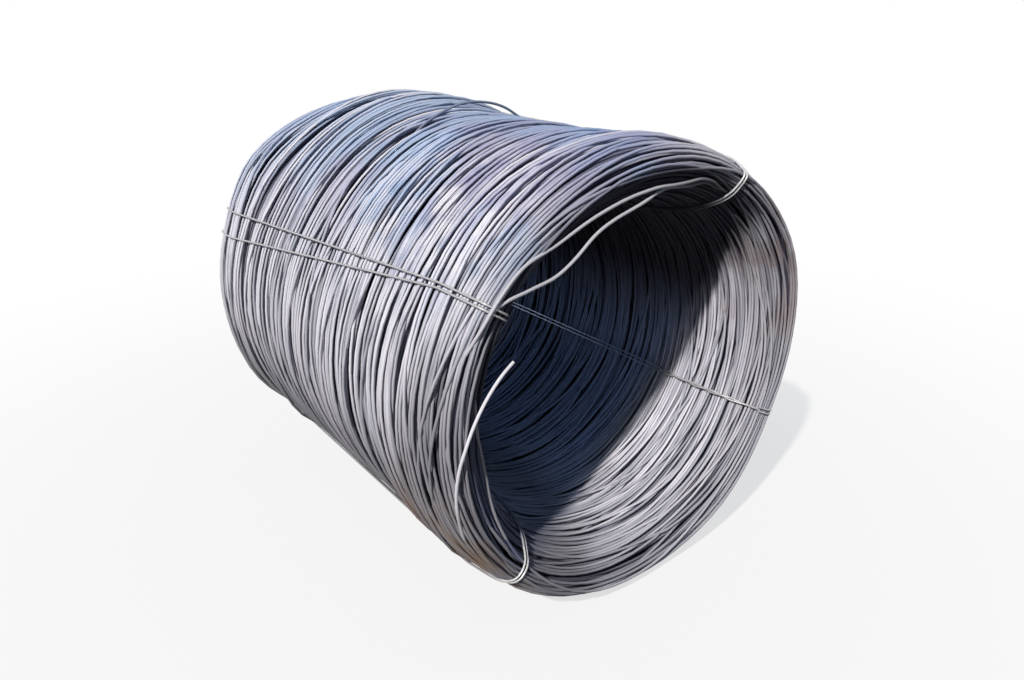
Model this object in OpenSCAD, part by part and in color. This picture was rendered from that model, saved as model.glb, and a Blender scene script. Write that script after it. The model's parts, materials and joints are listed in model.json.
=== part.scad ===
// Coil of hot-rolled wire rod, lying on its side, held by four double tie wires.
// The coil's axis runs along Y, +Z is up, and the origin is under its middle on the floor.

/* [Coil] */
// Inner diameter of the coil, over the crests of its innermost turns
bore_d = 900; // [700:10:1100]
// Thickness of the winding from the bore to the outside
wall = 175; // [120:5:260]
// Length of the coil over the crowns of both ends
coil_l = 1530; // [900:10:2000]

/* [Rod] */
// Diameter of the wire rod
rod_d = 8; // [5.5:0.5:12]
// Clear gap between neighbouring turns on the ends
end_gap = 8; // [4:0.5:16]
// Clear gap between neighbouring proud turns along the outside
outer_gap = 12; // [6:0.5:30]
// Depth by which the lowest turns at the surface lie under the proud ones
sink = 10; // [0:0.5:16]

/* [Ends] */
// Radial drop from the outside to the crown of an end
shoulder_h = 45; // [30:1:70]
// Length along the axis of the rounded shoulder outside the crown
shoulder_l = 166; // [100:1:240]
// Length along the axis of the flared mouth inside the crown
flare_l = 300; // [120:1:380]

/* [Loose turns] */
// Angle from the upper left tie to the place where the free end leaves the crown of the near end
free_end_root_turn = 39; // [20:1:50]
// Angle from the upper left tie to the free end's tip
free_end_tip_turn = 10; // [4:1:15]
// Radius of the free end's bend
free_end_bend_r = 900; // [500:10:2000]
// Angle from the upper right tie to the place where each slack turn leaves the crown
slack_start_turns = [-2, 8]; // [-4:1:12]
// Angle from the upper left tie to the place where each slack turn reaches the crown again
slack_stop_turns = [3, 5]; // [0:1:5]

/* [Ties] */
// Diameter of the tie wire
tie_d = 5.5; // [4:0.5:8]
// Distance between the two wraps of a tie in the bore
tie_pair_w = 12; // [10:1:24]
// Angle of each tie about the axis, from +X towards +Z
tie_angles = [147, 60, 336, 223]; // [0:1:360]
// Angle by which each tie's outer run leans over towards the far end
tie_leans = [10, 3, -4, 3]; // [-10:1:10]
// Extra distance between the two wraps at the far end of the outer run
tie_spreads = [70, 14, 8, 20]; // [0:1:80]

/* [Hidden] */

// Shares of the sink by which turns lie low, taken in order along the outside and away from each crown
sink_shares = [0, 0, 0.7, 0, 0.1, 0, 1, 0.4, 0, 0.1, 0, 0.9, 0];
// Share of the flare's height between the bore and the free end's tip, and each slack turn's middle
free_end_share = 0.2;
slack_shares = [0.45, 0.2];
// Depth of the free end and of each slack turn behind the crown, as a share of the rod's diameter
free_end_depth_share = 0.7;
slack_depth_shares = [0.8, 1.9];
// Places of the upper left and the upper right tie in the lists of ties
upper_left = 0;
upper_right = 1;
// Clearance between a tie and the turns that it is pulled against
tie_gap = 0.9;
// Overrun of cuts past the surfaces that they open
overrun = 5;
// Step of the angle along the shoulder and the flare, in degrees
arc_step = 5;
// Parts of the outer run between the rings of a leaning tie
run_parts = 8;
// Sides of the round of a turn, and of a swept tie wire
rod_sides = 8;
tie_sides = 8;

bore_r = bore_d / 2;
coil_r = bore_r + wall;
half_l = coil_l / 2;
rod_r = rod_d / 2;
end_pitch = rod_d + end_gap;
outer_pitch = rod_d + outer_gap;
crown_r = coil_r - shoulder_h;
flare_h = crown_r - bore_r;
shoulder_y = half_l - shoulder_l;
flare_y = half_l - flare_l;
tie_r = tie_d / 2;
tie_off = tie_gap + tie_r;
// Radius of a tie's centre line in the bore, and of the seat that it is bedded in
tie_bore_r = bore_r + tie_off;
seat_r = tie_bore_r + tie_off;
seat_half_w = tie_pair_w / 2 + tie_off;

function unit(v) = v / norm(v);
function arc_degrees(length, radius) = length / radius * 180 / PI;

// Section of one end: points [radius, y] of the coil's surface moved out by off along its normal
function shoulder(a, off) =
    [crown_r + shoulder_h * cos(a), shoulder_y + shoulder_l * sin(a)]
    + off * unit([shoulder_l * cos(a), shoulder_h * sin(a)]);
function flare(a, off) =
    [crown_r - flare_h * sin(a), flare_y + flare_l * cos(a)]
    + off * unit([-flare_l * sin(a), flare_h * cos(a)]);
function end_points(off) = concat(
    [for (a = [0 : arc_step : 90]) shoulder(a, off)],
    [for (a = [arc_step : arc_step : 90]) flare(a, off)]);
function reversed(rows) = [for (i = [len(rows) - 1 : -1 : 0]) rows[i]];
function mirrored(points) = [for (p = reversed(points)) [p.x, -p.y]];

// Length along a path from its start to each of its points
function run_lengths(path) = [for (i = 0, s = 0; i < len(path);
    i = i + 1, s = s + (i < len(path) ? norm(path[i] - path[i - 1]) : 0)) s];
function sink_at(i) = sink * sink_shares[i % len(sink_shares)];

// Centres of the turns along a path from the crown, each sunk towards the middle that the path is round
function end_turns(path, middle) =
    let (run = run_lengths(path))
    let (path_r = [for (i = [0 : len(path) - 1]) [run[i], path[i].x]])
    let (path_y = [for (i = [0 : len(path) - 1]) [run[i], path[i].y]])
    [for (i = [1 : floor((run[len(run) - 1] - rod_d) / end_pitch)])
        let (p = [lookup(i * end_pitch, path_r), lookup(i * end_pitch, path_y)])
        p + sink_at(i) * unit(middle - p)];

// Centres of the turns on one half: along the outside, over the shoulder to the crown, and into the mouth
shoulder_path = [for (a = [90 : -arc_step : 0]) shoulder(a, -rod_r)];
flare_path = [for (a = [0 : arc_step : 90]) flare(a, -rod_r)];
outer_count = floor((shoulder_y - rod_d) / outer_pitch + 1 / 2);
outer_turns = [for (i = [0 : outer_count - 1]) [coil_r - rod_r - sink_at(i), (i + 1 / 2) * outer_pitch]];
half_turns = concat(
    outer_turns,
    reversed(end_turns(shoulder_path, [crown_r, shoulder_y])),
    [[crown_r, half_l - rod_r]],
    end_turns(flare_path, [crown_r, flare_y]));
turns = concat(mirrored(half_turns), half_turns);

// Half section of the coil: a core with one round for each turn at its surface
module coil_section() {
    polygon(concat([[bore_r, -flare_y]], turns, [[bore_r, flare_y]]));
    for (turn = turns)
        translate(turn) circle(rod_r, $fn = rod_sides);
}

// Seat of one tie in the bore, where its wraps are pulled in flush with the inner turns
module tie_seat(angle) {
    seat_angle = arc_degrees(2 * seat_half_w, bore_r);
    rotate([0, 0, angle - seat_angle / 2])
        rotate_extrude(angle = seat_angle, $fn = 360)
            translate([bore_r - overrun, -half_l])
                square([seat_r - bore_r + overrun, coil_l]);
}

function on_circle(angle, radius) = [radius * cos(angle), radius * sin(angle)];
// Radius of the arc whose ends are a chord apart and whose middle stands a rise above the chord
function arc_radius(chord, rise) = (chord * chord / 4 + rise * rise) / (2 * rise);

// Rod bent to an arc across the near mouth, anticlockwise from start to stop, at a depth behind the crown
module bent_rod(start, stop, bend_r, depth) {
    chord = stop - start;
    centre = (start + stop) / 2 + sqrt(bend_r * bend_r - chord * chord / 4) * unit([-chord.y, chord.x]);
    first = atan2(start.y - centre.y, start.x - centre.x);
    span = 2 * asin(norm(chord) / 2 / bend_r);
    translate([centre.x, centre.y, half_l - depth]) rotate([0, 0, first])
        rotate_extrude(angle = span, $fn = 180)
            translate([bend_r, 0]) circle(rod_r, $fn = rod_sides);
}

// Free end of the rod, sprung out of the near end's crown into the mouth
module free_end() {
    tip = on_circle(tie_angles[upper_left] + free_end_tip_turn, bore_r + free_end_share * flare_h);
    root = on_circle(tie_angles[upper_left] + free_end_root_turn, crown_r);
    bent_rod(tip, root, free_end_bend_r, free_end_depth_share * rod_d);
}

// Slack turn that hangs across the upper mouth from one upper tie to the other
module slack_turn(i) {
    start_angle = tie_angles[upper_right] + slack_start_turns[i];
    stop_angle = tie_angles[upper_left] + slack_stop_turns[i];
    start = on_circle(start_angle, crown_r);
    stop = on_circle(stop_angle, crown_r);
    rise = bore_r + slack_shares[i] * flare_h - crown_r * cos((stop_angle - start_angle) / 2);
    bent_rod(start, stop, arc_radius(norm(stop - start), rise), slack_depth_shares[i] * rod_d);
}

// Coil axis from the turning axis Z to Y, raised so that the coil lies on the floor
module lay_down() {
    translate([0, 0, coil_r]) rotate([90, 0, 0]) children();
}

module wire_coil() {
    color("lightsteelblue") lay_down() difference() {
        rotate_extrude($fn = 180) coil_section();
        for (angle = tie_angles) tie_seat(angle);
    }
    color("lightsteelblue") lay_down() {
        free_end();
        for (i = [0 : len(slack_shares) - 1]) slack_turn(i);
    }
}

// Closed path of one wrap on side -1 or 1 of the tie's middle, from the near mouth round the outside
// to the far mouth: rows of [radius, y, distance from the tie's middle, share of the lean]
function wrap_path(i, side) =
    let (near = tie_pair_w / 2, far = near + tie_spreads[i] / 2)
    let (outer_r = coil_r + tie_off)
    let (far_end = [for (p = end_points(tie_off)) [max(p.x, tie_bore_r), p.y]])
    let (near_end = mirrored(far_end))
    concat(
        [for (p = near_end) [p.x, p.y, side * near, 0]],
        [for (k = [1 : run_parts - 1]) let (t = k / run_parts)
            [outer_r, shoulder_y * (2 * t - 1), side * (near + (far - near) * t), t]],
        [for (p = far_end) let (t = min(1, max(0, (p.x - tie_bore_r) / (crown_r - tie_bore_r))))
            [p.x, p.y, side * (near + (far - near) * t), t]]);

module tie(i) {
    color("gainsboro") lay_down()
        for (side = [-1, 1]) {
            rows = wrap_path(i, side);
            ring = [for (row = rows)
                let (a = tie_angles[i] + tie_leans[i] * row[3] + arc_degrees(row[2], row[0]))
                [row[0] * cos(a), row[0] * sin(a), -row[1]]];
            closed_tube(ring, tie_r);
        }
}

// Tube of radius r along a closed loop of points that lies near a plane through Z
module closed_tube(points, r) {
    n = len(points);
    corners = [for (i = [0 : n - 1])
        let (along = unit(points[(i + 1) % n] - points[(i + n - 1) % n]))
        let (round_axis = unit([-points[i].y, points[i].x, 0]))
        let (out = unit(cross(along, round_axis)))
        let (side = cross(out, along))
        for (k = [0 : tie_sides - 1])
            let (a = 360 * k / tie_sides)
            points[i] + r * (cos(a) * out + sin(a) * side)];
    faces = [for (i = [0 : n - 1], k = [0 : tie_sides - 1])
        let (j = (i + 1) % n, m = (k + 1) % tie_sides)
        [i * tie_sides + k, j * tie_sides + k, j * tie_sides + m, i * tie_sides + m]];
    polyhedron(corners, faces, convexity = 10);
}

wire_coil();
tie(0);  // tie_upper_left
tie(1);  // tie_upper_right
tie(2);  // tie_lower_right
tie(3);  // tie_lower_left
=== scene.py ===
"""Looks of a coil of wire rod: its turns, tie wires, loose turns and free end, on a plain stage."""

import json
import math
from collections import namedtuple

import bpy
import numpy as np
from mathutils import Matrix, Vector


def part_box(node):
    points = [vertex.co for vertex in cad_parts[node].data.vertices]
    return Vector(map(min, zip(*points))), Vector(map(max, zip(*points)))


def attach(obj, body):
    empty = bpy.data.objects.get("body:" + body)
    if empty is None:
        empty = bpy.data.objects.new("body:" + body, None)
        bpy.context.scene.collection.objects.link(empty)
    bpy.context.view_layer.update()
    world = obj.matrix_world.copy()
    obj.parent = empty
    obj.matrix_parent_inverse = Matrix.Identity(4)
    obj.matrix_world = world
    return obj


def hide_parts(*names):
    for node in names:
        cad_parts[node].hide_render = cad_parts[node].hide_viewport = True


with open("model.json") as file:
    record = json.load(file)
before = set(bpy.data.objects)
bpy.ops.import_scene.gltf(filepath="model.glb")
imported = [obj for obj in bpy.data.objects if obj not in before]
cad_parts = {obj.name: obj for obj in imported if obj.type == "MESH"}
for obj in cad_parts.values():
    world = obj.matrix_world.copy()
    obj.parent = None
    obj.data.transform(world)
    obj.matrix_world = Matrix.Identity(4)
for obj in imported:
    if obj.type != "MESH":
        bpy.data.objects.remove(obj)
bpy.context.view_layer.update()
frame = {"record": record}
coil_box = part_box("wire_coil")
bore_mount = next(m for m in frame["record"]["mounts"] if m["name"] == "bore")

bl_info = {
    "name": "Wire Rod Coil",
    "version": (1, 0, 0),
    "blender": (4, 5, 0),
    "location": "View3D > Sidebar > Coil",
    "description": "Winds a loose coil of wire rod round its bore, with tie wires and a studio stage",
    "category": "Add Mesh",
}

BODY = "root"
TAU = 2 * math.pi


def length_prop(name, description, default):
    """A length in metres that a user may change."""
    return bpy.props.FloatProperty(
        name=name, description=description, default=default, unit="LENGTH", subtype="DISTANCE", precision=4)


def number_prop(name, description, default):
    """A plain number that a user may change."""
    return bpy.props.FloatProperty(name=name, description=description, default=default)


def count_prop(name, description, default):
    """A whole number that a user may change."""
    return bpy.props.IntProperty(name=name, description=description, default=default)


def colour_prop(name, description, default):
    """A linear colour that a user may change."""
    return bpy.props.FloatVectorProperty(
        name=name, description=description, default=default, subtype="COLOR", size=3, min=0, max=1)


def angle_prop(name, description, degrees):
    """An angle that a user may change, kept in radians."""
    return bpy.props.FloatProperty(
        name=name, description=description, default=math.radians(degrees), unit="ROTATION", subtype="ANGLE")


class CoilSizes(bpy.types.PropertyGroup):
    """Sizes of the winding, taken from the solid coil where it gives them."""

    coil_r: length_prop("Coil radius", "Outer radius of the coil", (coil_box[1].x - coil_box[0].x) / 2)
    half_l: length_prop("Half length", "Half of the coil's length", (coil_box[1].y - coil_box[0].y) / 2)
    bore_r: length_prop("Bore radius", "Radius over the innermost turns", bore_mount["dims"]["r_mm"] / 1000)
    axis_z: length_prop("Axis height", "Height of the coil's axis", bore_mount["pos_m"][2])
    shoulder_h: length_prop("Shoulder drop", "Radial drop from the outside to the crown of an end", 0.045)
    shoulder_l: length_prop("Shoulder length", "Axial length of the shoulder outside the crown", 0.166)
    flare_l: length_prop("Flare length", "Axial length of the mouth inside the crown", 0.300)
    rod_r: length_prop("Rod radius", "Radius of the wire rod", 0.004)
    band: length_prop("Turn band", "Depth of the loose turns over the inner winding", 0.058)
    layers: count_prop("Layers", "Layers of turns in the loose band", 4)
    clump: number_prop("Clump", "Mean number of turns that lie side by side", 1.25)
    clump_gap: length_prop("Clump gap", "Mean gap between clumps of turns", 0.0068)
    gap_swing: number_prop("Gap swing", "Share by which gaps widen on the outside", 0.28)
    strays: count_prop("Strays", "Turns that lie slack over the others", 64)
    stations: count_prop("Stations", "Points along each turn", 72)
    sides: count_prop("Sides", "Sides of the rod", 6)
    passes: count_prop("Passes", "Rounds of settling the turns apart", 90)
    seed: count_prop("Seed", "Seed of the winding's chance", 7)


class TieSizes(bpy.types.PropertyGroup):
    """Sizes and places of the tie wires."""

    wire_r: length_prop("Tie radius", "Radius of the tie wire", 0.00275)
    gap: length_prop("Tie gap", "Clearance between a tie and the turns", 0.0006)
    pair_w: length_prop("Pair width", "Distance between a tie's two wraps in the bore", 0.012)
    dip: length_prop("Tie dip", "How far a tie presses the turns in", 0.007)


class CoilColours(bpy.types.PropertyGroup):
    """Colours of the steel, some of them painted shade and painted light."""

    bright: colour_prop("Bright steel", "Rod where the scale is thin", (0.82, 0.80, 0.86))
    scale: colour_prop("Mill scale", "Rod under blue-grey scale", (0.44, 0.44, 0.50))
    # Blue and violet tints on top: partly the scale's own tint, partly painted sky reflection and painted
    # shade
    blue: colour_prop("Blue scale", "Blued scale on the top of the coil", (0.35, 0.51, 0.77))
    violet_scale_and_sky: colour_prop("Violet scale", "Violet scale between the blued places", (0.37, 0.375, 0.57))
    # Painted shade low on the left of the coil, also used to darken the rims
    dull_shade: colour_prop("Dull scale", "Duller rod low on the left of the coil", (0.22, 0.215, 0.235))
    dust: colour_prop("Brown dust", "Tan rust and dust low on the near rim", (0.33, 0.240, 0.185))
    rust: colour_prop("Pink rust", "Thin rust high on the right of the near rim", (0.34, 0.265, 0.26))
    # Painted shade: turns deep in the winding, and the dark of the bore's mouths; also the dark marks on the
    # tie wire
    deep: colour_prop("Deep winding", "Turns deep inside the winding", (0.060, 0.056, 0.090))
    # Painted shade: the darkest places of the inner winding
    core: colour_prop("Core", "Darkest places of the inner winding", (0.012, 0.012, 0.018))
    # Low in the bore: pale blue, partly blue scale and partly painted light for the light from the far mouth.
    # High in the bore: black painted shade.
    bore: colour_prop("Bore scale", "Blue scale low in the bore, in its shade", (0.570, 0.670, 0.950))
    black_shade: colour_prop("Black scale", "Black scale high in the bore", (0.026, 0.025, 0.038))
    tie: colour_prop("Tie wire", "Soft drawn tie wire", (0.74, 0.73, 0.73))
    # Painted shade on the tie wire low on the outside
    tie_low_shade: colour_prop("Dull tie wire", "Tie wire that has weathered", (0.34, 0.33, 0.35))


class StageSettings(bpy.types.PropertyGroup):
    """Camera, floor and lamps."""

    azimuth: angle_prop("Azimuth", "Camera's angle round the coil", -36.56)
    elevation: angle_prop("Elevation", "Camera's angle above the horizon", 22.21)
    roll: angle_prop("Roll", "Camera's turn about its own axis", -0.33)
    distance: length_prop("Distance", "Camera's distance from the coil's middle", 2.603)
    slide_right: length_prop("Slide right", "Camera's shift to its right", 0.0981)
    slide_up: length_prop("Slide up", "Camera's shift upwards", -0.1053)
    lens: number_prop("Lens", "Focal length in mm on the camera's sensor", 27.97)
    floor: colour_prop("Floor", "Pale floor", (0.86, 0.86, 0.87))
    bounce: colour_prop("Floor bounce", "Floor's colour for the light it throws back", (0.02, 0.018, 0.016))
    key: number_prop("Key", "Strength of the key lamp", 3.40)
    key_colour: colour_prop("Key colour", "Colour of the key lamp", (1.0, 0.97, 0.93))
    key_width: angle_prop("Key width", "Angle that the key lamp spans, which softens its shadows", 2)
    fill: number_prop("Fill", "Strength of the light from all round", 0.17)
    fill_colour: colour_prop("Fill colour", "Colour of the light from all round", (0.50, 0.70, 1.0))


# Section of the winding

# Points on each quarter ellipse of the section
ARC_POINTS = 60


def end_arc(sizes, inset):
    """Near end of the section from the bore to the outside, as rows of radius and distance along the axis.

    Two quarter ellipses meet at the crown: the flared mouth inside it and the shoulder outside it.
    Both are moved into the winding by the inset."""
    crown_r = sizes.coil_r - sizes.shoulder_h
    turn = np.linspace(0, math.pi / 2, ARC_POINTS)
    flare_h = crown_r - sizes.bore_r - inset
    shoulder_h = sizes.shoulder_h - inset
    flare_r = crown_r - flare_h * np.cos(turn)
    flare_y = sizes.half_l - sizes.flare_l + (sizes.flare_l - inset) * np.sin(turn)
    shoulder_r = crown_r + shoulder_h * np.sin(turn)
    shoulder_y = sizes.half_l - sizes.shoulder_l + (sizes.shoulder_l - inset) * np.cos(turn)
    r = np.concatenate([flare_r, shoulder_r[1:]])
    y = np.concatenate([flare_y, shoulder_y[1:]])
    return np.stack([r, y], axis=1)


def section(sizes, inset):
    """Closed section of the winding: from mid-bore round the near end, outside and far end, and back."""
    near = end_arc(sizes, inset) * (1, -1)
    far = end_arc(sizes, inset)[::-1]
    middle = np.array([[sizes.bore_r + inset, 0.0]])
    return np.concatenate([middle, near, far, middle])


def section_tables(sizes):
    """Arc length along the surface of the section, with the surface and the inner winding at each point."""
    surface = section(sizes, 0.0)
    inner = section(sizes, sizes.band)
    steps = np.hypot(*np.diff(surface, axis=0).T)
    run = np.concatenate([[0], np.cumsum(steps)])
    return run, surface, inner


def on_section(sizes, tables, s, depth):
    """Radius and axial place at arc length s and depth: the line from the surface to the inner winding."""
    run, surface, inner = tables
    s = s % run[-1]
    share = depth / sizes.band
    r = np.interp(s, run, surface[:, 0]) * (1 - share) + np.interp(s, run, inner[:, 0]) * share
    y = np.interp(s, run, surface[:, 1]) * (1 - share) + np.interp(s, run, inner[:, 1]) * share
    return r, y


# Laying of the turns

# Ties: the node that each stands for, its angle at the near end, its lean and its wraps' spread towards
# the far end, the turns in a metre where its wraps are twisted together, and how bright its wire is
Tie = namedtuple("Tie", "node angle lean spread twist tone")
TIES = (
    Tie("tie_upper_left", 147, 10, 0.070, 0.0, 0.45),
    Tie("tie_upper_right", 60, 3, 0.014, 0.0, 0.90),
    Tie("tie_lower_right", 336, -4, 0.008, 9.0, 0.45),
    Tie("tie_lower_left", 223, 3, 0.020, 0.0, 1.00),
)
TIE_ANGLES = np.radians([tie.angle for tie in TIES])
# Angles in radians over which a tie draws turns together, presses them in and keeps the outside from bulging
SQUEEZE_W, PRESS_W, BULGE_W = 0.25, 0.09, 0.45
# Share of a turn's drift that a tie takes away, and height of the bulge between the ties
SQUEEZE_SHARE, BULGE_H = 0.6, 0.005
# Angle of the line that the coil rests on, and how far round it the coil stays pressed
REST_ANGLE, REST_W = 1.5 * math.pi, 0.5
# How turns wander along the surface or in depth: spread in metres, number of waves, and how fast these fade
STRAY_WANDER = (0.030, 4, 0.6)
CLUMP_WANDER = (0.010, 5, 0.7)
TURN_WANDER = (0.006, 6, 0.7)
DEPTH_WANDER = (0.003, 4, 0.5)
# Share of the way round the section at which the gaps are widest: towards the far end of the outside
SPARSE_SHARE = 0.70
# Part of its layer in which a turn starts, and least depth of a laid turn in radii of the rod
LAYER_PART, TOP_DEPTH = (0.25, 0.85), 1.6
# Settling: neighbours that a turn is pushed away from, share of an overlap that one push clears,
# waves that a stiff rod keeps, passes between straightenings, and passes after the last of them
NEIGHBOURS, PUSH_SHARE, STIFF_WAVES, STRAIGHTEN_EVERY, LAST_PASSES = 7, 0.3, 14, 4, 6
# Least distance that is divided by
TINY = 1e-6


def near_ties(theta, width):
    """One at a tie's angle, falling to nothing a few widths away."""
    away = (theta[..., None] - TIE_ANGLES + math.pi) % TAU - math.pi
    return np.exp(-(away / width) ** 2).sum(axis=-1)


def lowest(theta):
    """One at the line that the coil rests on, falling to nothing half a radian or so away."""
    return np.exp(-((theta - REST_ANGLE) / REST_W) ** 2)


def wander(rng, count, theta, spread, orders, fall):
    """Sum of cosines round the turn with chance phases, whose height falls with their order."""
    out = np.zeros((count, len(theta)))
    for order in range(1, orders + 1):
        height = spread / order ** fall * rng.normal(size=(count, 1))
        phase = rng.uniform(0, TAU, size=(count, 1))
        out += height * np.cos(order * theta + phase)
    return out


def smooth_round(values, order):
    """Low-pass of each row round the turn: waves past the order fade out, as a stiff rod straightens."""
    waves = np.fft.rfft(values, axis=1)
    n = np.arange(waves.shape[1])
    return np.fft.irfft(waves / (1 + (n / order) ** 4), n=values.shape[1], axis=1)


def push_apart(s, depth, total, gap):
    """One pass that moves each two turns apart, at every station, where they are nearer than the gap."""
    order = np.argsort(s % total, axis=0)[None]
    row = np.take_along_axis(np.stack([s % total, depth]), order, axis=1)
    move = np.zeros_like(row)
    for k in range(1, NEIGHBOURS + 1):
        step = np.roll(row, -k, axis=1) - row
        step[0, -k:] += total
        away = np.hypot(*step) + TINY
        push = np.where(away < gap, PUSH_SHARE * (gap - away) / away, 0) * step
        move += np.roll(push, k, axis=1) - push
    moved = np.empty_like(move)
    np.put_along_axis(moved, order, move, axis=1)
    return s + moved[0], depth + moved[1]


def clump_places(rng, sizes, total):
    """Arc lengths of one layer's turns and the clump that each one is in.

    Clumps of touching turns follow each other with chance gaps, and the row is stretched to close the
    section. A sine along the row opens it on the far outside and packs it in the near mouth."""
    rod_d = 2 * sizes.rod_r
    members = rng.poisson(sizes.clump - 1, int(total / (sizes.clump * rod_d + sizes.clump_gap))) + 1
    member = np.repeat(np.arange(len(members)), members)
    gaps = np.full(len(member), rod_d)
    first = np.cumsum(members) - members
    gaps[first] += rng.gamma(2.0, sizes.clump_gap / 2, len(members))
    share = np.cumsum(gaps) / gaps.sum()
    share = share + sizes.gap_swing / TAU * np.sin(TAU * (share - SPARSE_SHARE))
    return share * total, member


def lay_turns(sizes, tables, theta):
    """Arc length and depth of every turn at every angle, before they are settled, the strays first.

    Slack strays cross over all the others.
    Each layer's clumps wander together and their turns drift apart and back, closing up at the ties."""
    rng = np.random.default_rng(sizes.seed)
    total = tables[0][-1]
    squeeze = 1 - SQUEEZE_SHARE * np.clip(near_ties(theta, SQUEEZE_W), 0, 1)
    places = (np.arange(sizes.strays) + rng.uniform(size=sizes.strays)) * total / sizes.strays
    rows_s = [places[:, None] + wander(rng, sizes.strays, theta, *STRAY_WANDER) * squeeze]
    rows_d = [np.zeros((sizes.strays, len(theta)))]
    for layer in range(sizes.layers):
        places, member = clump_places(rng, sizes, total)
        count = len(places)
        shared = wander(rng, member[-1] + 1, theta, *CLUMP_WANDER)[member]
        own = wander(rng, count, theta, *TURN_WANDER) * squeeze
        rows_s.append(places[:, None] + shared + own)
        middle = (layer + rng.uniform(*LAYER_PART, (count, 1))) * sizes.band / sizes.layers
        rows_d.append(middle + wander(rng, count, theta, *DEPTH_WANDER))
    return np.concatenate(rows_s), np.concatenate(rows_d)


def settle_turns(sizes, ties, tables, theta, s, depth):
    """Arc length and depth of the turns once they lie on each other.

    They are pushed apart and straightened in turn, between the surface, which the ties press in, and the
    inner winding."""
    total = tables[0][-1]
    press = ties.dip * near_ties(theta, PRESS_W)
    top = np.full((len(s), 1), TOP_DEPTH * sizes.rod_r) + press
    top[:sizes.strays] = press + sizes.rod_r * lowest(theta)
    floor = sizes.band - sizes.rod_r
    for turn in range(sizes.passes + LAST_PASSES):
        s, depth = push_apart(s, depth, total, 2 * sizes.rod_r)
        depth = np.clip(depth, top, floor)
        if turn < sizes.passes and turn % STRAIGHTEN_EVERY == STRAIGHTEN_EVERY - 1:
            s = smooth_round(s, STIFF_WAVES)
            depth = smooth_round(depth, STIFF_WAVES)
    return s, depth


# Places where the outside has swollen or sagged: angle, place along the axis, spread of both,
# how sharply it ends along the axis, and height
LUMPS = (
    (80, 0.40, 0.55, 0.20, 8, 0.022),
    (80, -0.24, 0.45, 0.36, 6, -0.016),
    (212, 0.66, 0.30, 0.16, 2, 0.024),
    (214, 0.33, 0.20, 0.05, 2, 0.012),
    (138, 0.68, 0.28, 0.16, 2, 0.030),
    (85, 0.72, 0.30, 0.10, 2, -0.018),
    (216, -0.54, 0.30, 0.12, 6, 0.009),
    (215, -0.20, 0.30, 0.22, 4, -0.005),
    (55, -0.72, 0.30, 0.10, 2, 0.010),
    (22, -0.72, 0.30, 0.10, 2, 0.022),
    (352, -0.72, 0.40, 0.10, 2, -0.004),
    (302, -0.72, 0.25, 0.10, 2, 0.010),
    (108, -0.75, 0.50, 0.05, 2, -0.034),
)


def swell(sizes, theta, r, y):
    """Radial change of the outside: it bulges between the ties, and swells or sags where turns have slipped.

    The bore, the ends' mouths and the line that the coil rests on stay where they are."""
    outside = np.clip((r - sizes.bore_r - sizes.band) / (sizes.coil_r - sizes.bore_r - sizes.band), 0, 1)
    change = BULGE_H * (1 - np.clip(near_ties(theta, BULGE_W), 0, 1)) + np.zeros_like(y)
    for angle, place, width, length, power, height in LUMPS:
        away = (theta - math.radians(angle) + math.pi) % TAU - math.pi
        change = change + height * np.exp(-(away / width) ** 2 - np.abs((y - place) / length) ** power)
    return change * (1 - lowest(theta)) * outside


def winding(sizes, ties):
    """Angles of the stations, each turn's radius, axial place and depth there, and its mean arc length."""
    tables = section_tables(sizes)
    theta = np.linspace(0, TAU, sizes.stations, endpoint=False)
    s, depth = settle_turns(sizes, ties, tables, theta, *lay_turns(sizes, tables, theta))
    r, y = on_section(sizes, tables, s, depth)
    return theta, r + swell(sizes, theta, r, y), y, depth, s.mean(axis=1) % tables[0][-1]


# Tie wires and loose turns

# Points along a wrap, directions that a tight loop is found in, and waves that its wire keeps
TIE_STATIONS, LOOP_DIRECTIONS, TIE_WAVES = 600, 720, 50
# Where twisted wraps are: place along the axis, and length either side of it
TWIST_Y, TWIST_L = -0.62, 0.16
# Sides of the tie wires and of the loose turns, and points from one place of a loose turn to the next
TIE_SIDES, LOOSE_SIDES, POINTS_PER_PLACE = 6, 12, 8


def tie_angle(sizes, ties, tie, side, r, y):
    """Angle of a tie's wrap at a place on the section.

    On the outside, the two wraps part and lean over from the near end to the far end."""
    outside = np.clip((r - sizes.bore_r) / (sizes.coil_r - sizes.shoulder_h - sizes.bore_r), 0, 1)
    share = np.clip(0.5 + y / (2 * (sizes.half_l - sizes.shoulder_l)), 0, 1) * outside
    across = side * (ties.pair_w / 2 + tie.spread / 2 * share)
    return np.radians(tie.angle + tie.lean * share) + across / r


def at_angle(values, angle):
    """Each turn's value at its own angle, read between the two nearest stations."""
    stations = values.shape[1]
    place = (angle % TAU) / TAU * stations
    low = np.floor(place).astype(int)
    share = place - low
    rows = np.arange(len(values))
    return values[rows, low % stations] * (1 - share) + values[rows, (low + 1) % stations] * share


def taut_loop(r, y, reach):
    """Closed loop drawn tight round the turns of a section.

    In each direction it touches the turn that stands out most, at the reach from that turn's centre.
    The points are then spread evenly along the loop."""
    turn = np.linspace(0, TAU, LOOP_DIRECTIONS, endpoint=False)
    cos, sin = np.cos(turn), np.sin(turn)
    out = (r[:, None] * cos + y[:, None] * sin).argmax(axis=0)
    loop = np.stack([r[out] + reach * cos, y[out] + reach * sin], axis=1)
    loop = np.concatenate([loop, loop[:1]])
    run = np.concatenate([[0], np.cumsum(np.hypot(*np.diff(loop, axis=0).T))])
    even = np.linspace(0, run[-1], TIE_STATIONS, endpoint=False)
    even_r = np.interp(even, run, loop[:, 0])
    even_y = np.interp(even, run, loop[:, 1])
    return smooth_round(np.stack([even_r, even_y]), TIE_WAVES)


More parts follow.
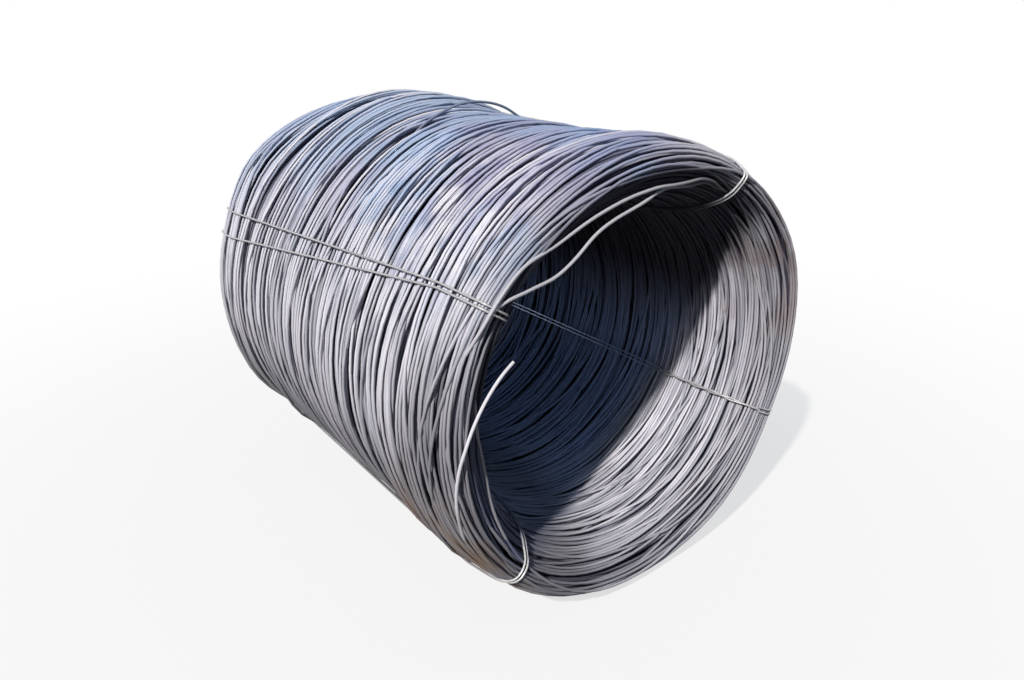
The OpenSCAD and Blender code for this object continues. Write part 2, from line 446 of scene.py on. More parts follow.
def tie_path(sizes, ties, tie, side, r, y):
    """Points along one wrap of a tie, drawn tight round the turns.

    Where the tie is twisted, its wraps turn about the line midway between them."""
    angle = tie_angle(sizes, ties, tie, side, r.mean(axis=1), y.mean(axis=1))
    reach = sizes.rod_r + ties.wire_r + ties.gap
    loop_r, loop_y = taut_loop(at_angle(r, angle), at_angle(y, angle), reach)
    turn = tie_angle(sizes, ties, tie, side, loop_r, loop_y)
    if tie.twist:
        middle = tie_angle(sizes, ties, tie, 0, loop_r, loop_y)
        along = loop_y - TWIST_Y
        near = np.exp(-(along / TWIST_L) ** 4) * (loop_r < sizes.coil_r - 2 * sizes.shoulder_h)
        round_by = near * tie.twist * along * TAU
        turn = middle + (turn - middle) * np.cos(round_by) * (1 - near / 2)
        loop_r = loop_r - near * ties.wire_r * (1 + side * np.sin(round_by))
    return in_space(sizes, loop_r, loop_y, turn)


# Loose turns, each with its brightness, how much painted shade it has (past one as dark as a buried turn),
# and
# its places: angle in degrees, and radius and depth behind the near end in mm
MM = 0.001
LOOSE_TURNS = (
    ("loose_turn_upper", 1.0, 0.0, (
        (168, 580, 90), (160, 590, 40), (152, 592, 8), (144, 586, 2), (136, 574, 2), (126, 536, 5),
        (112, 518, 8), (99, 513, 12), (91, 515, 12), (85, 516, 12), (80, 523, 12), (75, 535, 12),
        (70, 537, 16), (65, 531, 24), (61, 536, 34), (54, 545, 60))),
    ("loose_turn_lower", 1.0, 0.0, (
        (160, 572, 90), (153, 580, 45), (148, 579, 16), (144, 564, 5), (139, 524, 5), (132, 482, 8),
        (124, 470, 10), (114, 481, 10), (102, 483, 13), (96, 489, 15), (91, 501, 18), (87, 508, 21),
        (82, 510, 22), (78, 514, 22), (72, 530, 22), (67, 528, 26), (62, 536, 36), (55, 545, 60))),
    ("free_end", 1.5, 0.0, (
        (156.5, 478, 4), (161, 503, 2), (167, 531, 0), (173, 557, -3), (178, 576, -4), (183, 590, 2),
        (190, 601, 13), (198, 606, 26), (207, 604, 55), (216, 596, 100))),
    ("rim_turn_inner", 0.8, 0.0, (
        (140, 560, 90), (150, 562, 45), (163, 556, 22), (170, 533, 30), (176, 521, 35),
        (183, 507, 40), (191, 503, 40), (198, 509, 39), (206, 519, 34), (213, 528, 30),
        (219, 534, 38), (227, 542, 62), (238, 550, 100))),
    ("rim_turn_middle", 0.4, 0.0, (
        (150, 560, 100), (161, 572, 50), (172, 576, 12), (181, 563, 19), (188, 555, 25),
        (195, 549, 26), (203, 544, 24), (212, 541, 21), (219, 547, 32), (228, 555, 62),
        (238, 560, 100))),
    ("rim_turn_outer", 0.4, 0.0, (
        (166, 580, 90), (180, 600, 30), (191, 593, 9), (197, 589, 8), (204, 583, 6), (211, 577, 5),
        (218, 574, 16), (227, 572, 45), (237, 570, 90))),
    ("sprung_turn", 0.0, 1.014, (
        (112, 600, 785), (106, 622, 785), (100, 636, 785), (95, 645, 785), (91, 647.5, 785),
        (87, 645.5, 785), (83, 641, 785), (79, 632, 785), (75, 618, 785), (70, 602, 785),
        (62, 580, 785))),
)
# Painted shadow of the rim on the loose turns: angles in degrees at which they are darkest and bright, as
# they come out from under the rim, and how much painted shade they have at the first
SHADOW_ANGLE, LIT_ANGLE, RIM_SHADE = 68, 100, 0.4


def bend_through(rows, per_row):
    """A smooth curve through the rows: on each stretch a cubic whose slopes follow the rows on both sides."""
    padded = np.concatenate([rows[:1], rows, rows[-1:]])
    place = np.linspace(0, len(rows) - 1, (len(rows) - 1) * per_row + 1)
    i = np.minimum(place.astype(int), len(rows) - 2)
    t = (place - i)[:, None]
    before, first, last, after = (padded[i + k] for k in range(4))
    return 0.5 * (2 * first + (last - before) * t + (2 * before - 5 * first + 4 * last - after) * t ** 2
                  + (3 * first - before - 3 * last + after) * t ** 3)


# Meshes

def in_space(sizes, r, y, theta):
    """Points at radius r and axial place y, at the angle from +X towards +Z about the coil's axis."""
    return np.stack([r * np.cos(theta), y, sizes.axis_z + r * np.sin(theta)], axis=-1)


def unit(v):
    """Vectors of length one along the last axis."""
    return v / np.linalg.norm(v, axis=-1, keepdims=True)


def ring_grid(centre, along, side, radius, sides):
    """Rings of points round each centre, in the plane across the path, starting towards the side vector."""
    out = unit(side - (side * along).sum(axis=-1, keepdims=True) * along)
    third = np.cross(along, out)
    turn = np.linspace(0, TAU, sides, endpoint=False)[:, None]
    return centre[..., None, :] + radius * (
        np.cos(turn) * out[..., None, :] + np.sin(turn) * third[..., None, :])


def grid_faces(count, stations, sides, closed):
    """Quads of tubes whose points are numbered turn by turn, station by station and side by side."""
    last = stations if closed else stations - 1
    i, m, k = np.meshgrid(np.arange(count), np.arange(last), np.arange(sides), indexing="ij")
    here = (i * stations + m) * sides
    there = (i * stations + (m + 1) % stations) * sides
    k_next = (k + 1) % sides
    return np.stack([here + k, here + k_next, there + k_next, there + k], axis=-1).reshape(-1, 4)


def mesh_object(name, points, quads, material, values=None, extra=()):
    """A smooth mesh at the origin from arrays of points and quads, with point attributes."""
    mesh = bpy.data.meshes.new(name)
    points = np.asarray(points, dtype=np.float32).reshape(-1, 3)
    loops = [np.asarray(quads, dtype=np.int32).ravel()]
    sizes_of = [np.full(len(quads), 4, dtype=np.int32)]
    for face in extra:
        loops.append(np.asarray(face, dtype=np.int32))
        sizes_of.append(np.array([len(face)], dtype=np.int32))
    corner = np.concatenate(loops)
    counts = np.concatenate(sizes_of)
    mesh.vertices.add(len(points))
    mesh.vertices.foreach_set("co", points.ravel())
    mesh.loops.add(len(corner))
    mesh.loops.foreach_set("vertex_index", corner)
    mesh.polygons.add(len(counts))
    mesh.polygons.foreach_set("loop_start", np.concatenate([[0], np.cumsum(counts)[:-1]]).astype(np.int32))
    for key, data in (values or {}).items():
        layer = mesh.attributes.new(key, "FLOAT", "POINT")
        layer.data.foreach_set("value", np.asarray(data, dtype=np.float32).ravel())
    mesh.update(calc_edges=True)
    mesh.polygons.foreach_set("use_smooth", np.ones(len(counts), dtype=bool))
    mesh.validate()
    mesh.materials.append(material)
    piece = bpy.data.objects.new(name, mesh)
    bpy.context.scene.collection.objects.link(piece)
    return piece


def add_piece(piece, slot, *nodes):
    """The piece moves with the coil and stands for the nodes, whose parts are hidden; the slot is not used.
    """
    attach(piece, BODY)
    if nodes:
        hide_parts(*nodes)


# Materials

def is_socket(value):
    """Whether the value is a node's socket."""
    return isinstance(value, bpy.types.NodeSocket)


def set_inputs(made, **inputs):
    """Sets a node's inputs, by name or by an underscore and their number, or links them to sockets."""
    for key, value in inputs.items():
        socket = made.inputs[int(key[1:])] if key[0] == "_" else made.inputs[key.replace("_", " ")]
        if is_socket(value):
            made.id_data.links.new(value, socket)
        else:
            socket.default_value = value


def node(tree, kind, **inputs):
    """A shader node with some of its inputs set."""
    made = tree.nodes.new("ShaderNode" + kind)
    set_inputs(made, **inputs)
    return made


def tree_of(*values):
    """The node tree of the first socket among the values."""
    return next(value.id_data for value in values if is_socket(value))


def math_node(operation, first, second):
    """A math node's result, from numbers or sockets."""
    made = node(tree_of(first, second), "Math", _0=first, _1=second)
    made.operation = operation
    return made.outputs[0]


def mix_colour(factor, first, second):
    """A mix of two colours, each a socket or three numbers, by a socket."""
    first, second = (value if is_socket(value) else (*value, 1.0) for value in (first, second))
    made = node(tree_of(factor), "Mix", _0=factor, _6=first, _7=second)
    made.data_type = "RGBA"
    return made.outputs[2]


def times(*values):
    """Product of values or sockets."""
    product = values[0]
    for value in values[1:]:
        product = math_node("MULTIPLY", product, value)
    return product


def one_less(value):
    """One less the value."""
    return math_node("SUBTRACT", 1.0, value)


def ramp(value, low, high):
    """Zero below low, one above high and a smooth rise between, or the other way round where high is less."""
    made = node(tree_of(value), "MapRange", Value=value, From_Min=low, From_Max=high)
    made.interpolation_type = "SMOOTHSTEP"
    return made.outputs[0]


def evenly(value, low, high, start=0.0, end=1.0):
    """A number that goes evenly from low to high while the value goes from start to end."""
    limits = {"From_Min": start, "From_Max": end, "To_Min": low, "To_Max": high}
    return node(tree_of(value), "MapRange", Value=value, **limits).outputs[0]


def distance_from(vector, centre=(0.0, 0.0, 0.0)):
    """Distance between a vector and a centre."""
    made = node(tree_of(vector), "VectorMath", _0=vector, _1=centre)
    made.operation = "DISTANCE"
    return made.outputs["Value"]


def noise(vector, **inputs):
    """Noise at a place."""
    return node(tree_of(vector), "TexNoise", Vector=vector, **inputs).outputs[0]


def object_place(tree):
    """The place on the object."""
    return node(tree, "TexCoord").outputs["Object"]


def attribute(tree, name):
    """A point attribute's value."""
    made = node(tree, "Attribute")
    made.attribute_name = name
    return made.outputs["Fac"]


# Scale of the flecks on the rod and on the tie wire, and how far apart the noise of two tones is read
ROD_GRAIN, TIE_GRAIN, TONE_STEP = 14, 60, 91.0


def steel_group():
    """Streaks of mill scale that run along a turn.

    They are noise at the place round the coil, with the turn's own tone in the place of the axis."""
    group = bpy.data.node_groups.new("rod_streaks", "ShaderNodeTree")
    face = group.interface
    face.new_socket("Grain", in_out="INPUT", socket_type="NodeSocketFloat").default_value = ROD_GRAIN
    for name in ("Streak", "Fleck", "Tone"):
        face.new_socket(name, in_out="OUTPUT", socket_type="NodeSocketFloat")
    start = group.nodes.new("NodeGroupInput")
    end = group.nodes.new("NodeGroupOutput")
    parts = node(group, "SeparateXYZ", Vector=object_place(group)).outputs
    tone = attribute(group, "tone")
    lane = node(group, "CombineXYZ", X=parts["X"], Y=times(tone, TONE_STEP), Z=parts["Z"])
    streak = noise(lane.outputs[0], Scale=3.0, Detail=3.0, Roughness=0.6)
    fleck = noise(lane.outputs[0], Scale=start.outputs["Grain"], Detail=4.0)
    for name, value in (("Streak", streak), ("Fleck", fleck), ("Tone", tone)):
        group.links.new(value, end.inputs[name])
    return group


def streaks_of(tree, group, grain):
    """The streak, fleck and tone that the shared group gives for a grain."""
    made = node(tree, "Group")
    made.node_tree = group
    set_inputs(made, Grain=grain)
    return made.outputs["Streak"], made.outputs["Fleck"], made.outputs["Tone"]


def new_material(name):
    """A node material with only its output, and the shader linked to it."""
    material = bpy.data.materials.new(name)
    material.use_nodes = True
    tree = material.node_tree
    tree.nodes.clear()
    shader = node(tree, "BsdfPrincipled")
    node(tree, "OutputMaterial", Surface=shader.outputs[0])
    return material, tree, shader


# Where a point of the coil lies: its place, X, Y, height over the axis, distance from it, and distance along
# it from the coil's middle
Spot = namedtuple("Spot", "place x y up away along")


def spot_on(tree, sizes):
    """The sockets of a spot on the coil."""
    place = object_place(tree)
    parts = node(tree, "SeparateXYZ", Vector=place).outputs
    up = math_node("SUBTRACT", parts["Z"], sizes.axis_z)
    across = node(tree, "CombineXYZ", X=parts["X"], Y=up, Z=0.0).outputs[0]
    along = math_node("ABSOLUTE", parts["Y"], 0.0)
    return Spot(place, parts["X"], parts["Y"], up, distance_from(across), along)


def from_end(sizes, behind):
    """Places along the axis that lie so far behind an end."""
    return [sizes.half_l - depth for depth in behind]


# In the values below, a pair says where a mask starts and where it is full, in metres on the coil, or in
# tone, noise or depth

# Depth written on the turns that lie free of the winding; their painted shade raises it towards the painted
# shade of the bore and of buried turns
FREE_DEPTH = -1.0
# Wear: shares of the streak and of the turn's tone in it, and where it shows
STREAK_SHARE, TONE_SHARE, WEAR = 0.7, 0.45, (0.30, 0.75)
# Tones above which the palest turns are left without the painted dull shade
UNSHADED_TONES = (1.1, 1.4)
# Stains and a painted highlight, each with its centre, reach and strength, and how far from the axis the dust
# lies.
# The pale patch is a painted highlight high on the upper left, where the key lamp falls.
PAINTED_HIGHLIGHT = ((-0.49, -0.45, 1.00), 0.55, 1.0)
DUST_STAIN, DUST_AWAY = ((-0.54, -0.62, 0.24), 0.34, 1.0), (0.555, 0.585)
RUST_STAIN = ((0.55, -0.74, 0.86), 0.36, 0.7)
# Flecks and their strength
FLECKS, FLECK_SHARE = (0.52, 0.75), 0.35
# Painted shade between the turns: depths at which turns go dark, and the share of it taken off where the
# lower right of a mouth is lit
BURIED_SHADE, LIT_MOUTH_SHARE = (0.005, 0.024), 0.35
# Inset from the crown of the painted shade and painted light in the bore
BORE_SHADE_INSET = 0.005
# Shine of the rod outside the painted shade: metal, mirror level, and roughness over a range of the flecks
METAL, SPECULAR, ROUGHNESS, ROUGH_FLECKS = 0.06, 0.06, (0.55, 0.68), (0.3, 0.7)


def rod_material(sizes, colours, group):
    """Hot-rolled rod: grey scale with pale streaks and stains, a painted highlight on the upper left, a tint
    on top that is partly painted sky reflection, painted shade low on the left, between the turns and in the
    bore, and pale blue painted light low in the bore.
    """
    material, tree, shader = new_material("wire_rod")
    spot = spot_on(tree, sizes)
    streak, fleck, tone = streaks_of(tree, group, ROD_GRAIN)
    depth = attribute(tree, "depth")
    worn = math_node("ADD", times(streak, STREAK_SHARE), times(tone, TONE_SHARE))
    colour = mix_colour(ramp(worn, *WEAR), colours.scale, colours.bright)
    # Tint on top: partly blued scale, partly painted sky reflection and painted shade
    colour = tint_and_sky_sheen(spot, colours, colour, tone)
    # Painted highlight: a pale patch on the upper left, towards the near end, where the key lamp falls
    colour = mix_colour(stain_and_highlight(spot, *PAINTED_HIGHLIGHT), colour, colours.bright)
    # Painted shade low on the left, and darker rims
    dull_shade_share = math_node("MAXIMUM", low_left_shade_mask(spot), rim_mask(spot, sizes))
    dull_shade_share = times(dull_shade_share, one_less(ramp(tone, *UNSHADED_TONES)))
    colour = mix_colour(dull_shade_share, colour, colours.dull_shade)
    dusty = times(stain_and_highlight(spot, *DUST_STAIN), ramp(spot.away, *DUST_AWAY))
    colour = mix_colour(dusty, colour, colours.dust)
    colour = mix_colour(stain_and_highlight(spot, *RUST_STAIN), colour, colours.rust)
    flecked = times(ramp(fleck, *FLECKS), FLECK_SHARE)
    colour = mix_colour(flecked, colour, colours.scale)
    # Laid turns take the bore's painted shade; free turns take it only as far as their painted shade goes
    laid = ramp(depth, FREE_DEPTH, FREE_DEPTH / 2)
    rim_r = sizes.coil_r - sizes.shoulder_h - BORE_SHADE_INSET
    # Painted shade and painted light in the bore, left off the lit lower right of each mouth
    colour, bore_shade_mask, lit_mouth = painted_bore_shade_and_light(spot, sizes, colours, colour, rim_r, laid)
    # Painted shade in the gaps between the turns, by depth, less where a mouth is lit
    buried_shade = times(ramp(depth, *BURIED_SHADE), one_less(times(lit_mouth, LIT_MOUTH_SHARE)))
    colour = mix_colour(buried_shade, colour, colours.deep)
    # No metal shine in the painted shade
    metal = times(one_less(math_node("MAXIMUM", buried_shade, bore_shade_mask)), METAL)
    rough = evenly(fleck, *ROUGHNESS, *ROUGH_FLECKS)
    set_inputs(shader, Base_Color=colour, Metallic=metal, Roughness=rough, Specular_IOR_Level=SPECULAR)
    return material


# Tint on top, partly blued scale and partly painted sky reflection and painted shade on the top: where it
# grows towards the near end and its strengths, how high and how far left it lies, where the near rim draws it
# back and by how much, tones that it is rubbed off, the clouds in which it is blue, and how much fewer these
# are at the near end
TINT_NEAR, TINT_SHARE = (0.35, -0.50), (0.55, 0.85)
TINT_HIGH, TINT_LEFT = (0.15, 0.62), (0.42, 0.12)
TINT_RIM, TINT_RIM_SHIFT, TINT_TONES = (-0.50, -0.72), 0.2, (1.0, 0.80)
BLUE_CLOUDS, BLUE_LOSS = (0.32, 0.54), 0.12


def tint_and_sky_sheen(spot, colours, colour, tone):
    """The colour with a tint over it, blue in clouds and violet between them: partly blued scale, partly
    painted sky reflection and painted shade, as the top is lit less than the left.

    It lies high on the coil and to the left, stronger towards the near end but drawn back to the left at its
    rim, and it is rubbed off the palest turns."""
    near = ramp(spot.y, *TINT_NEAR)
    cloud = noise(spot.place, Scale=2.6, Detail=2.0)
    blued = math_node("SUBTRACT", cloud, times(near, BLUE_LOSS))
    tint = mix_colour(ramp(blued, *BLUE_CLOUDS), colours.violet_scale_and_sky, colours.blue)
    aside = math_node("ADD", spot.x, times(ramp(spot.y, *TINT_RIM), TINT_RIM_SHIFT))
    there = times(ramp(spot.up, *TINT_HIGH), ramp(aside, *TINT_LEFT))
    share = times(there, evenly(near, *TINT_SHARE), ramp(tone, *TINT_TONES))
    return mix_colour(share, colour, tint)


# Painted shade low on the left: how low and how far left it lies, its strength, where the near rim raises it
# and by how much
DULL_LOW, DULL_LEFT, DULL_SHARE = (0.10, -0.32), (0.0, -0.25), 0.75
DULL_NEAR, DULL_RAISE = (-0.45, -0.68), 0.30
# Darker rod on the rims, in the same colour as the painted shade: how far behind an end, and its strength
RIM_BEHIND, RIM_SHARE = (0.14, 0.03), 0.40


def low_left_shade_mask(spot):
    """Mask of the painted shade: low on the left, and reaching higher round the near rim."""
    raised = math_node("SUBTRACT", spot.up, times(ramp(spot.y, *DULL_NEAR), DULL_RAISE))
    return times(ramp(raised, *DULL_LOW), ramp(spot.x, *DULL_LEFT), DULL_SHARE)


def rim_mask(spot, sizes):
    """Mask of the darker rod on the rims: near both ends, from the crown inwards."""
    inside = ramp(spot.away, sizes.coil_r, sizes.coil_r - sizes.shoulder_h)
    return times(inside, ramp(spot.along, *from_end(sizes, RIM_BEHIND)), RIM_SHARE)


# Painted shade and painted light in the bore: depth in which they fade in, their strength, the heights
# between which they go from black painted shade to pale blue painted light, how far behind an end they start,
# and how this edge slants to the lower right along the key lamp's shadow
BORE_SHADE_FADE, BORE_SHADE_SHARE, BORE_SHADE_BLUE = 0.03, 0.92, (0.18, -0.15)
BORE_SHADE_BEHIND, SHADOW_SLANT = (-0.04, 0.08), 0.6
# Where the pale blue painted light turns to painted shade behind an end and to the left, each with its
# strength
MOUTH_BEHIND, MOUTH_SHARE = (0.35, 0.15), 0.8
LEFT_X, LEFT_SHARE = (0.10, -0.12), 0.65


def painted_bore_shade_and_light(spot, sizes, colours, colour, rim_r, laid):
    """The colour with painted shade and painted light in the bore, its mask, and the lit part of each mouth.

    It runs inwards from the rim's radius: black painted shade high in the bore, and pale blue low in it,
    partly blue scale and partly painted light, which darkens into painted shade to the left and towards the
    mouths.
    Its edge slants along the key lamp's shadow, so it is left off the lit lower right of each mouth, and
    turns that lie free of the winding have none."""
    under = ramp(spot.away, rim_r, rim_r - BORE_SHADE_FADE)
    lower_right = math_node("SUBTRACT", spot.x, spot.up)
    slant = math_node("ADD", spot.along, times(lower_right, SHADOW_SLANT))
    # Edge of the painted shade, slanting along the key lamp's shadow
    in_shadow = ramp(slant, *from_end(sizes, BORE_SHADE_BEHIND))
    mask = times(under, in_shadow, laid)
    mouth = times(ramp(spot.along, *from_end(sizes, MOUTH_BEHIND)), MOUTH_SHARE)
    left = times(ramp(spot.x, *LEFT_X), LEFT_SHARE)
    darker = math_node("MAXIMUM", mouth, left)
    low = mix_colour(darker, colours.bore, colours.deep)
    scale = mix_colour(ramp(spot.up, *BORE_SHADE_BLUE), colours.black_shade, low)
    lit_mouth = times(under, one_less(in_shadow))
    return mix_colour(times(mask, BORE_SHADE_SHARE), colour, scale), mask, lit_mouth


# Range of the noise in which a stain and the painted highlight show
STAIN_PATCHES = (0.35, 0.65)


def stain_and_highlight(spot, centre, reach, strength):
    """Mask of a stain, and of the painted highlight, round a place on the coil: a soft ball of the reach,
    broken up by noise.
    """
    near = ramp(distance_from(spot.place, centre), reach, reach / 4)
    patches = ramp(noise(spot.place, Scale=11.0, Detail=4.0), *STAIN_PATCHES)
    return times(near, patches, strength)


def core_shade_material(colours):
    """The winding behind the loose turns, painted dark in clouds as the shade that it lies in."""
    material, tree, shader = new_material("inner_winding")
    cloud = noise(object_place(tree), Scale=9.0, Detail=3.0)
    colour = mix_colour(cloud, colours.deep, colours.core)
    set_inputs(shader, Base_Color=colour, Roughness=0.7, Specular_IOR_Level=0.1)
    return material


# Tie wire: depth under the outside at which it stays bright, heights at which it does so outside as well, and
# elsewhere on the outside it takes painted shade; its marks and their strength, and how far from the bore its
# painted shade starts
TIE_SHADE_EDGE, TIE_HIGH, TIE_MARKS, TIE_MARK_SHARE, TIE_SHADE_L = 0.02, (-0.2, 0.0), (0.5, 0.8), 0.5, 0.065


def tie_material(sizes, colours, group):
    """Drawn tie wire: bright by its tone, with painted shade low on the outside, dark marks, and painted
    shade in the bore.
    """
    material, tree, shader = new_material("tie_wire")
    spot = spot_on(tree, sizes)
    _, fleck, tone = streaks_of(tree, group, TIE_GRAIN)
    inside = ramp(spot.away, sizes.coil_r, sizes.coil_r - TIE_SHADE_EDGE)
    # Painted shade on the tie low on the outside
    unshaded = math_node("MAXIMUM", inside, ramp(spot.up, *TIE_HIGH))
    colour = mix_colour(times(tone, unshaded), colours.tie_low_shade, colours.tie)
    marked = times(ramp(fleck, *TIE_MARKS), TIE_MARK_SHARE)
    colour = mix_colour(marked, colour, colours.deep)
    # Painted shade and painted light on the tie in the bore
    colour, _, _ = painted_bore_shade_and_light(spot, sizes, colours, colour, sizes.bore_r + TIE_SHADE_L, 1.0)
    set_inputs(shader, Base_Color=colour, Roughness=0.34, Metallic=0.2)
    return material


# Operators

# Groups of turns in their order round the section, and the mesh of the inner winding
TURN_GROUPS = ("turns_bore_near", "turns_end_near", "turns_outside_near",
               "turns_outside_far", "turns_end_far", "turns_bore_far")
INNER_STATIONS, INNER_POINTS = 80, 140


def settings(context):
    """The four groups of settings kept on the scene."""
    scene = context.scene
    return scene.coil_sizes, scene.coil_ties, scene.coil_colours, scene.coil_stage


class COIL_OT_wind(bpy.types.Operator):
    """Wind the loose turns and the inner winding behind them"""

    bl_idname = "coil.wind"
    bl_label = "Wind the coil"

    def execute(self, context):
        sizes, ties, colours, _ = settings(context)
        tables = section_tables(sizes)
        theta, r, y, depth, mean = winding(sizes, ties)
        rng = np.random.default_rng(sizes.seed + 1)
        tone = rng.uniform(size=len(r))
        centre = in_space(sizes, r, y, theta)
        along = unit(np.roll(centre, -1, axis=1) - np.roll(centre, 1, axis=1))
        outward = np.stack([np.cos(theta), 0 * theta, np.sin(theta)], axis=-1)
        points = ring_grid(centre, along, outward[None], sizes.rod_r, sizes.sides)
        material = rod_material(sizes, colours, steel_group())
        for name, low, high in self.groups(tables):
            pick = np.flatnonzero((mean >= low) & (mean < high))
            quads = grid_faces(len(pick), sizes.stations, sizes.sides, True)
            shape = points[pick].shape[:3]
            values = {
                "tone": np.broadcast_to(tone[pick, None, None], shape),
                "depth": np.broadcast_to(depth[pick][:, :, None] - sizes.rod_r, shape),
            }
            piece = mesh_object(name, points[pick], quads, material, values)
            add_piece(piece, "rod_steel", "wire_coil")
        self.inner(sizes, tables, colours)
        return {"FINISHED"}

    def groups(self, tables):
        """Names of the groups of turns, with the arc lengths between which each one lies."""
        run = tables[0]
        outside = (len(run) - 2) // 2
        middle = (run[outside] + run[outside + 1]) / 2
        edges = (0, run[1], run[outside], middle, run[outside + 1], run[-2], math.inf)
        return zip(TURN_GROUPS, edges[:-1], edges[1:])

    def inner(self, sizes, tables, colours):
        """The inner winding: its section turned about the axis."""
        theta = np.linspace(0, TAU, INNER_STATIONS, endpoint=False)
        s = np.linspace(0, tables[0][-1], INNER_POINTS, endpoint=False)
        r, y = on_section(sizes, tables, s, np.full_like(s, sizes.band - sizes.rod_r))
        y = np.broadcast_to(y, (INNER_STATIONS, INNER_POINTS))
        points = in_space(sizes, r[None, :], y, theta[:, None])
        quads = grid_faces(1, INNER_STATIONS, INNER_POINTS, True)[:, ::-1]
        piece = mesh_object("inner_winding", points, quads, core_shade_material(colours))
        add_piece(piece, "rod_steel", "wire_coil")


def tube(name, path, side, radius, sides, closed, material, tone, depth):
    """A round tube along a path of points, whose rings start towards the side.

    It has flat ends where it isn't closed, one tone all over, and a depth at each point of the path or one
    for them all."""
    ahead = np.roll(path, -1, axis=0)
    behind = np.roll(path, 1, axis=0)
    if not closed:
        ahead[-1] = path[-1]
        behind[0] = path[0]
    along = unit(ahead - behind)
    points = ring_grid(path, along, side, radius, sides)
    quads = grid_faces(1, len(path), sides, closed)
    last = (len(path) - 1) * sides
    ends = () if closed else (np.arange(sides)[::-1], last + np.arange(sides))
    depths = np.repeat(np.broadcast_to(depth, len(path)), sides)
    values = {"tone": np.full(len(path) * sides, tone), "depth": depths}
    return mesh_object(name, points, quads, material, values, ends)


class COIL_OT_tie(bpy.types.Operator):
    """Draw the four tie wires tight round the turns, two wraps each"""

    bl_idname = "coil.tie"
    bl_label = "Tie the coil"

    def execute(self, context):
        sizes, ties, colours, _ = settings(context)
        _, r, y, _, _ = winding(sizes, ties)
        material = tie_material(sizes, colours, bpy.data.node_groups["rod_streaks"])
        for tie in TIES:
            turn = math.radians(tie.angle)
            across = np.array([[-math.sin(turn), 0.0, math.cos(turn)]])
            for side, end in ((-1, "a"), (1, "b")):
                name = f"{tie.node}_wrap_{end}"
                path = tie_path(sizes, ties, tie, side, r, y)
                piece = tube(name, path, across, ties.wire_r, TIE_SIDES, True, material, tie.tone, 0.0)
                add_piece(piece, "tie_steel", tie.node)
        return {"FINISHED"}


class COIL_OT_loosen(bpy.types.Operator):
    """Lay the loose turns at the mouth, the free end and the turn that has sprung out on top"""

    bl_idname = "coil.loosen"
    bl_label = "Loosen some turns"

    def execute(self, context):
        sizes, _, _, _ = settings(context)
        material = bpy.data.materials["wire_rod"]
        axis = np.array([[0.0, 1.0, 0.0]])
        for name, tone, painted_shade, rows in LOOSE_TURNS:
            angle, r, behind = bend_through(np.array(rows) * (1, MM, MM), POINTS_PER_PLACE).T
            path = in_space(sizes, r, behind - sizes.half_l, np.radians(angle))
            # Painted shadow of the rim, and each turn's own painted shade, written into its depth
            rim_shadow = np.interp(angle, (SHADOW_ANGLE, LIT_ANGLE), (RIM_SHADE, 0.0))
            depth = FREE_DEPTH * (1 - np.maximum(painted_shade, rim_shadow))
            piece = tube(name, path, axis, sizes.rod_r, LOOSE_SIDES, False, material, tone, depth)
            add_piece(piece, "rod_steel", "wire_coil")
        return {"FINISHED"}


# Stage: half width of the floor, distances from the coil between which the floor turns white, share of white
# under the coil, way that the key's light goes, the lamp's distance, and width of the camera's sensor in mm
FLOOR_REACH, FLOOR_FADE, FLOOR_WHITE = 60.0, (0.8, 3.5), 0.70
KEY_WAY, KEY_DISTANCE = Vector((0.668, 0.316, -0.674)), 6.0
SENSOR_W = 36.0
WHITE = (1.0, 1.0, 1.0)


def background_seen(tree):
    """One for rays that show the background: the camera's own, reflections and what passes through."""
    rays = node(tree, "LightPath").outputs
    mirrored = math_node("MAXIMUM", rays["Is Glossy Ray"], rays["Is Transmission Ray"])
    return math_node("MAXIMUM", rays["Is Camera Ray"], mirrored)


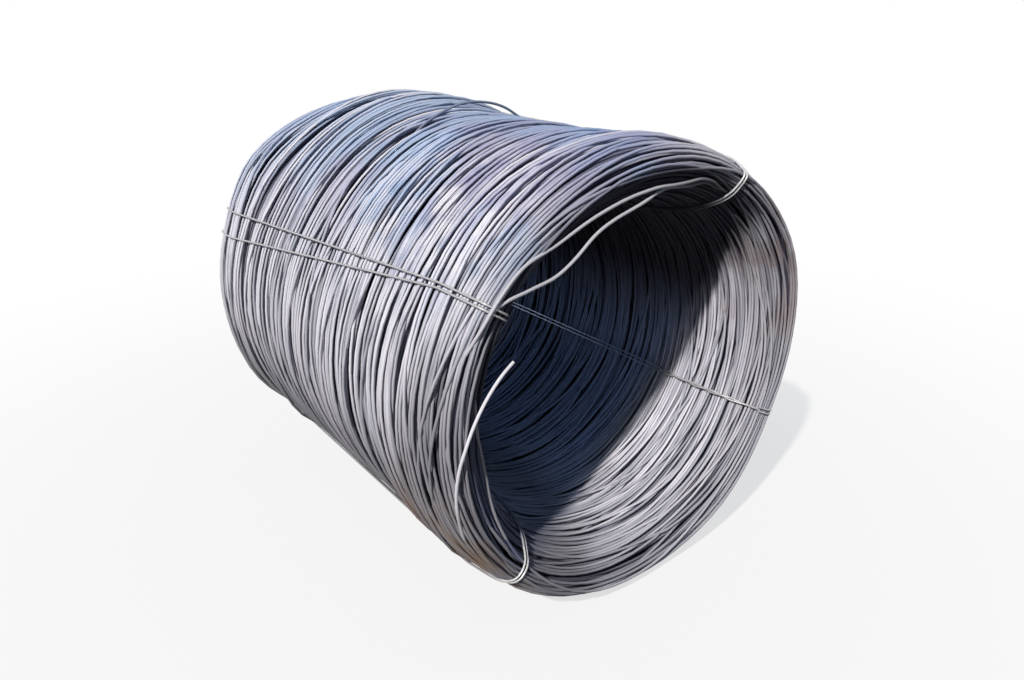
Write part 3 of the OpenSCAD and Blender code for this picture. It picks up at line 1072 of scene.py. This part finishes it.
class COIL_OT_stage(bpy.types.Operator):
    """Set up the floor, lamps and camera"""

    bl_idname = "coil.stage"
    bl_label = "Set the stage"

    def execute(self, context):
        sizes, _, _, stage = settings(context)
        self.floor(stage)
        self.world(context, stage)
        self.key(sizes, stage)
        self.camera(context, sizes, stage)
        context.scene.view_settings.view_transform = "Standard"
        return {"FINISHED"}

    def floor(self, stage):
        """A wide flat floor under the coil, which turns to plain white far from it as a studio sweep does."""
        material, tree, shader = new_material("floor_paint")
        seen = background_seen(tree)
        paint = mix_colour(seen, stage.bounce, stage.floor)
        set_inputs(shader, Base_Color=paint, Roughness=0.8)
        far = ramp(distance_from(object_place(tree)), *FLOOR_FADE)
        fade = times(evenly(far, FLOOR_WHITE, 1.0), seen)
        white = node(tree, "Emission", Color=(*WHITE, 1.0), Strength=1.0)
        both = node(tree, "MixShader", Fac=fade, _1=shader.outputs[0], _2=white.outputs[0])
        out = next(n for n in tree.nodes if n.type == "OUTPUT_MATERIAL")
        set_inputs(out, Surface=both.outputs[0])
        corners = FLOOR_REACH * np.array([[-1, -1, 0], [1, -1, 0], [1, 1, 0], [-1, 1, 0]])
        floor = mesh_object("floor", corners, np.array([[0, 1, 2, 3]]), material)

    def world(self, context, stage):
        """Even light from all round, and white where the camera or a reflection sees past the floor."""
        world = bpy.data.worlds.new("studio")
        world.use_nodes = True
        tree = world.node_tree
        tree.nodes.clear()
        seen = background_seen(tree)
        strength = evenly(seen, stage.fill, 1.0)
        tint = mix_colour(seen, stage.fill_colour, WHITE)
        shade = node(tree, "Background", Color=tint, Strength=strength)
        node(tree, "OutputWorld", Surface=shade.outputs[0])
        context.scene.world = world

    def key(self, sizes, stage):
        """The key lamp, high on the left."""
        lamp = bpy.data.lights.new("key", "SUN")
        lamp.energy = stage.key
        lamp.angle = stage.key_width
        lamp.color = stage.key_colour
        holder = bpy.data.objects.new("key", lamp)
        holder.location = Vector((0, 0, sizes.axis_z)) - KEY_WAY * KEY_DISTANCE
        holder.rotation_euler = KEY_WAY.to_track_quat("-Z", "Y").to_euler()
        bpy.context.scene.collection.objects.link(holder)

    def camera(self, context, sizes, stage):
        """The camera stands on a circle round the coil's middle, slid across its own view."""
        data = bpy.data.cameras.new("camera")
        data.lens = stage.lens
        data.sensor_width = SENSOR_W
        back = Vector((
            math.sin(stage.azimuth) * math.cos(stage.elevation),
            -math.cos(stage.azimuth) * math.cos(stage.elevation),
            math.sin(stage.elevation)))
        look = (-back).to_track_quat("-Z", "Y").to_matrix()
        look = look @ Matrix.Rotation(stage.roll, 3, "Z")
        place = Vector((0, 0, sizes.axis_z)) + back * stage.distance
        place += look @ Vector((stage.slide_right, stage.slide_up, 0))
        camera = bpy.data.objects.new("camera", data)
        camera.location = place
        camera.rotation_euler = look.to_euler()
        context.scene.collection.objects.link(camera)
        context.scene.camera = camera


class COIL_PT_panel(bpy.types.Panel):
    """Sidebar panel with the settings and the steps"""

    bl_label = "Wire Rod Coil"
    bl_idname = "COIL_PT_panel"
    bl_space_type = "VIEW_3D"
    bl_region_type = "UI"
    bl_category = "Coil"

    def draw(self, context):
        for group in settings(context):
            box = self.layout.box()
            for key in group.bl_rna.properties.keys():
                if key not in ("rna_type", "name"):
                    box.prop(group, key)
        for step in STEPS:
            self.layout.operator(step.bl_idname)


STEPS = (COIL_OT_wind, COIL_OT_tie, COIL_OT_loosen, COIL_OT_stage)
GROUPS = (("coil_sizes", CoilSizes), ("coil_ties", TieSizes), ("coil_colours", CoilColours),
          ("coil_stage", StageSettings))


def register():
    for key, group in GROUPS:
        bpy.utils.register_class(group)
        setattr(bpy.types.Scene, key, bpy.props.PointerProperty(type=group))
    for step in STEPS:
        bpy.utils.register_class(step)
    bpy.utils.register_class(COIL_PT_panel)


def unregister():
    bpy.utils.unregister_class(COIL_PT_panel)
    for step in reversed(STEPS):
        bpy.utils.unregister_class(step)
    for key, group in reversed(GROUPS):
        delattr(bpy.types.Scene, key)
        bpy.utils.unregister_class(group)


def main():
    register()
    bpy.ops.coil.wind()
    bpy.ops.coil.tie()
    bpy.ops.coil.loosen()
    bpy.ops.coil.stage()


if __name__ == "__main__":
    main()
